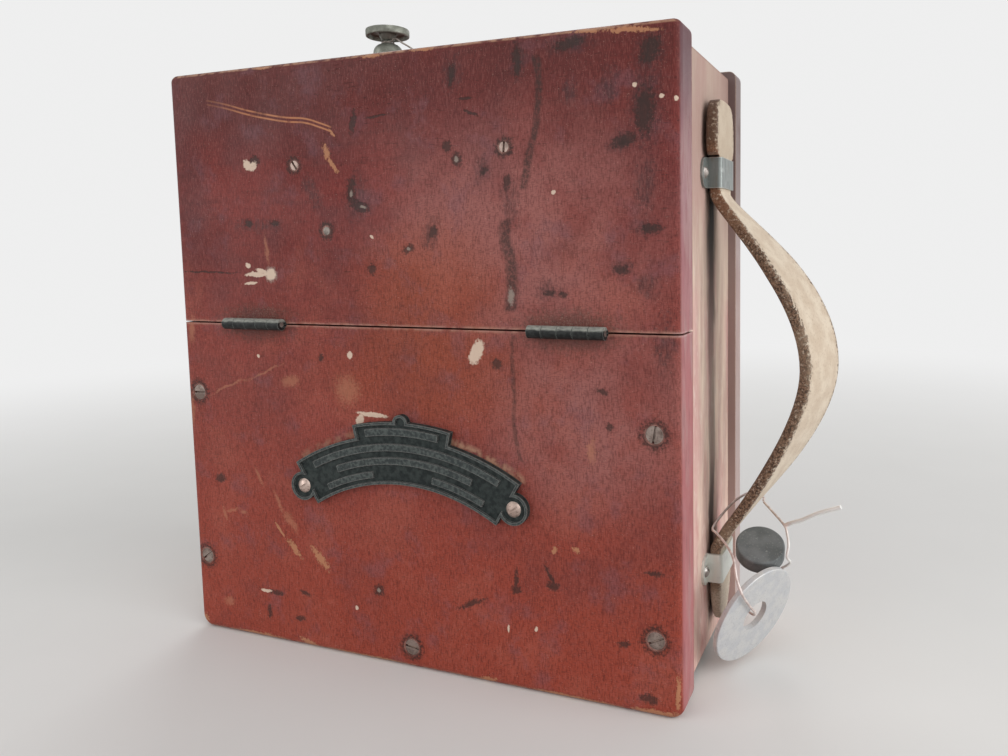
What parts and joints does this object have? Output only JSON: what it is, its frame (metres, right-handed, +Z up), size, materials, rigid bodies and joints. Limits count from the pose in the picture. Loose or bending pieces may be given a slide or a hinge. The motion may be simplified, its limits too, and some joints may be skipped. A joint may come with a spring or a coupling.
{
  "type": "portable ammeter",
  "caption": "Portable moving-coil ammeter in an upright mahogany case: lid hinged over the dial, fixed lower panel with an arched cast plate, strap handle on the right, terminals on top.",
  "frame": {"origin": "on the table plane, under the middle of the case's width and depth", "axes": "+X to the right of the front, +Y from the front to the back, +Z up"},
  "size_m": [0.2409, 0.1003, 0.2372],
  "materials": {
    "case_wood": "satin, old mahogany stain",
    "side_wood": "dusty, worn",
    "inner_wood": "matte",
    "strap_leather": "dry, worn",
    "steel": "dull",
    "clip_steel": "oxidised",
    "washer_metal": "dull plated",
    "wire_metal": "dull",
    "hinge_brass": "tarnished",
    "plate_casting": "dark, tarnished",
    "bronze_screw": "worn",
    "terminal_metal": "worn nickel plate",
    "brass": "satin",
    "shunt_alloy": "satin",
    "ebonite": "satin",
    "black_rubber": "matte",
    "clear_glass": "clear",
    "dial_face": "matte, aged",
    "magnet_paint": "satin",
    "soft_iron": "machined",
    "former_aluminium": "satin",
    "copper_winding": "enamelled",
    "pointer_black": "matte",
    "cotton_sleeve": "matte"
  },
  "bodies": {
    "case": {"back_board": "case_wood", "front_panel": "case_wood", "left_wall": "case_wood", "right_wall": "side_wood", "top_wall": "case_wood", "bottom_wall": "case_wood", "hinge_panel_leaves": "hinge_brass", "hinge_pins": "steel", "hinge_panel_screws": "steel", "panel_screws": "steel", "back_screws": "steel", "nameplate": "plate_casting", "nameplate_screws": "bronze_screw", "handle_strap": "strap_leather", "handle_clips": "clip_steel", "clip_screws": "steel", "terminal_bushings": "ebonite", "terminal_post": "terminal_metal", "terminal_wire": "copper_winding", "bare_stud": "brass", "terminal_nuts": "brass", "shunt_blocks": "brass", "shunt_strips": "shunt_alloy", "cross_rail": "inner_wood", "side_cleats": "inner_wood", "scale_panel": "case_wood", "scale_panel_screws": "brass", "bezel": "brass", "window_glass": "clear_glass", "glazing_points": "brass", "dial_plate": "dial_face", "dial_screws": "brass", "pointer_stops": "brass", "magnet": "magnet_paint", "pole_shoes": "soft_iron", "pole_screws": "steel", "core": "soft_iron", "core_stays": "brass", "bridges": "brass", "jewel_screws": "brass", "hairsprings": "shunt_alloy", "movement_pillars": "brass", "movement_screws": "steel", "coil_leads": "cotton_sleeve", "loose_washer": "washer_metal", "rubber_disc": "black_rubber", "tie_wire": "wire_metal"},
    "lid": {"lid": "case_wood", "lid_batten": "inner_wood", "lid_screws": "steel", "lid_brad": "steel", "hinge_lid_leaves": "hinge_brass", "hinge_lid_screws": "steel"},
    "moving_coil": {"coil_former": "former_aluminium", "coil_winding": "copper_winding", "coil_staffs": "steel", "pointer": "pointer_black", "balance_nuts": "brass"},
    "thumb_nut": {"thumb_nut": "terminal_metal"}
  },
  "joints": [
    {"name": "lid_hinge", "type": "hinge", "parent": "case", "child": "lid", "pos_m": [0, -0.0502, 0.1228], "axis": [1, 0, 0], "range_deg": [0, 178]},
    {"name": "pointer_swing", "type": "hinge", "parent": "case", "child": "moving_coil", "pos_m": [0, 0, 0.092], "axis": [0, 1, 0], "range_deg": [0, 84], "stiffness_Nm_per_rad": 0.0001},
    {"name": "thumb_nut_turn", "type": "hinge", "parent": "case", "child": "thumb_nut", "pos_m": [-0.034, 0, 0.235], "axis": [0, 0, 1], "continuous": true}
  ]
}
